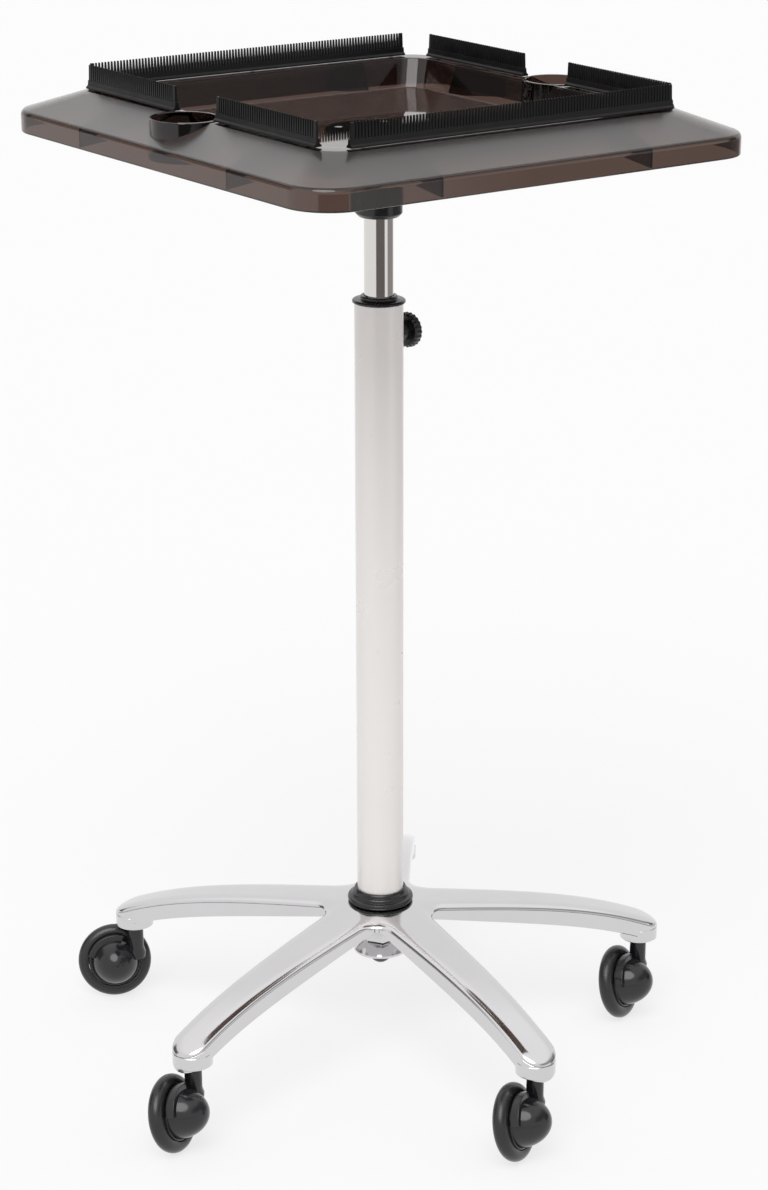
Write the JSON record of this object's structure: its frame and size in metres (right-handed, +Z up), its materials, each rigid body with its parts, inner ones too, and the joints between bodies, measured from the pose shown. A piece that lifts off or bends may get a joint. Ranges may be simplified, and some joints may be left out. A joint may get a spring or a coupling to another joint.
{
  "type": "rolling tray stand",
  "caption": "Square smoked tray with comb strips and round holders on a height-adjustable column, a star base and hooded ball casters.",
  "frame": {"origin": "where the column's axis meets the floor, under the middle of the base", "axes": "+Z up along the column; +Y towards the back, across the tray's two long combs; +X to the right, through the round holder beside it"},
  "size_m": [0.5247, 0.515, 0.8502],
  "materials": {
    "smoked_plastic": "see-through smoked plastic, glossy",
    "comb_plastic": "black moulded plastic, satin",
    "black_plastic": "black moulded plastic, fine grain",
    "hood_plastic": "black moulded plastic, semi-gloss",
    "tyre_rubber": "black polyurethane, smooth",
    "chrome": "bright plated",
    "satin_white": "satin white powder coat",
    "polished_aluminium": "polished casting",
    "zinc_steel": "zinc plated",
    "nylon": "natural nylon"
  },
  "bodies": {
    "base": {"star_base": "polished_aluminium", "column_ring": "black_plastic", "base_spacer": "polished_aluminium", "base_washer": "polished_aluminium", "base_bolt": "black_plastic", "column_plug": "zinc_steel", "column_tube": "satin_white", "column_bush": "black_plastic", "clamp_boss": "black_plastic"},
    "glide": {"tube_glide": "nylon"},
    "mast": {"inner_tube": "chrome", "tray_socket": "black_plastic", "tray_shell": "smoked_plastic", "socket_screw_1": "zinc_steel", "socket_screw_2": "zinc_steel", "socket_screw_3": "zinc_steel", "socket_screw_4": "zinc_steel", "comb_back": "comb_plastic", "comb_front": "comb_plastic", "comb_left_rear": "comb_plastic", "comb_left_front": "comb_plastic", "comb_right_rear": "comb_plastic", "comb_right_front": "comb_plastic"},
    "pad": {"clamp_pad": "nylon"},
    "knob": {"clamp_knob": "black_plastic", "clamp_screw": "zinc_steel"},
    "swivel_1": {"caster_1_stem": "zinc_steel", "caster_1_hood": "hood_plastic", "caster_1_axle": "zinc_steel"},
    "wheel_1": {"caster_1_wheel": "black_plastic", "caster_1_tyre": "tyre_rubber"},
    "swivel_2": {"caster_2_stem": "zinc_steel", "caster_2_hood": "hood_plastic", "caster_2_axle": "zinc_steel"},
    "wheel_2": {"caster_2_wheel": "black_plastic", "caster_2_tyre": "tyre_rubber"},
    "swivel_3": {"caster_3_stem": "zinc_steel", "caster_3_hood": "hood_plastic", "caster_3_axle": "zinc_steel"},
    "wheel_3": {"caster_3_wheel": "black_plastic", "caster_3_tyre": "tyre_rubber"},
    "swivel_4": {"caster_4_stem": "zinc_steel", "caster_4_hood": "hood_plastic", "caster_4_axle": "zinc_steel"},
    "wheel_4": {"caster_4_wheel": "black_plastic", "caster_4_tyre": "tyre_rubber"},
    "swivel_5": {"caster_5_stem": "zinc_steel", "caster_5_hood": "hood_plastic", "caster_5_axle": "zinc_steel"},
    "wheel_5": {"caster_5_wheel": "black_plastic", "caster_5_tyre": "tyre_rubber"}
  },
  "joints": [
    {"name": "mast_height", "type": "slide", "parent": "base", "child": "glide", "axis": [0, 0, 1], "range_m": [-0.06, 0.25]},
    {"name": "mast_turn", "type": "hinge", "parent": "glide", "child": "mast", "pos_m": [0, 0, 0.7], "axis": [0, 0, 1], "continuous": true},
    {"name": "clamp_travel", "type": "slide", "parent": "base", "child": "pad", "axis": [0.9848, 0.1736, 0], "range_m": [0, 0.0025]},
    {"name": "clamp_turn", "type": "hinge", "parent": "pad", "child": "knob", "pos_m": [0.02954, 0.00521, 0.6395], "axis": [0.9848, 0.1736, 0], "range_deg": [0, 720]},
    {"name": "swivel_turn_1", "type": "hinge", "parent": "base", "child": "swivel_1", "pos_m": [-0.02016, -0.24006, 0.07], "axis": [0, 0, 1], "continuous": true},
    {"name": "wheel_spin_1", "type": "hinge", "parent": "swivel_1", "child": "wheel_1", "pos_m": [-0.04169, -0.23991, 0.03262], "axis": [0.4676, -0.8506, 0.2402], "continuous": true},
    {"name": "swivel_turn_2", "type": "hinge", "parent": "base", "child": "swivel_2", "pos_m": [0.22208, -0.09335, 0.07], "axis": [0, 0, 1], "continuous": true},
    {"name": "wheel_spin_2", "type": "hinge", "parent": "swivel_2", "child": "wheel_2", "pos_m": [0.20056, -0.09242, 0.03262], "axis": [0.4362, -0.8672, 0.2402], "continuous": true},
    {"name": "swivel_turn_3", "type": "hinge", "parent": "base", "child": "swivel_3", "pos_m": [0.15741, 0.18236, 0.07], "axis": [0, 0, 1], "continuous": true},
    {"name": "wheel_spin_3", "type": "hinge", "parent": "swivel_3", "child": "wheel_3", "pos_m": [0.13588, 0.1825, 0.03262], "axis": [0.4676, -0.8506, 0.2402], "continuous": true},
    {"name": "swivel_turn_4", "type": "hinge", "parent": "base", "child": "swivel_4", "pos_m": [-0.12479, 0.20606, 0.07], "axis": [0, 0, 1], "continuous": true},
    {"name": "wheel_spin_4", "type": "hinge", "parent": "swivel_4", "child": "wheel_4", "pos_m": [-0.13649, 0.22413, 0.03262], "axis": [-0.4542, -0.8579, 0.2402], "continuous": true},
    {"name": "swivel_turn_5", "type": "hinge", "parent": "base", "child": "swivel_5", "pos_m": [-0.23454, -0.05501, 0.07], "axis": [0, 0, 1], "continuous": true},
    {"name": "wheel_spin_5", "type": "hinge", "parent": "swivel_5", "child": "wheel_5", "pos_m": [-0.25607, -0.05535, 0.03262], "axis": [0.4868, -0.8398, 0.2402], "continuous": true}
  ],
  "couplings": [
    {"joint": "clamp_travel", "follows": "clamp_turn", "m_per_rad": 0.000198}
  ]
}
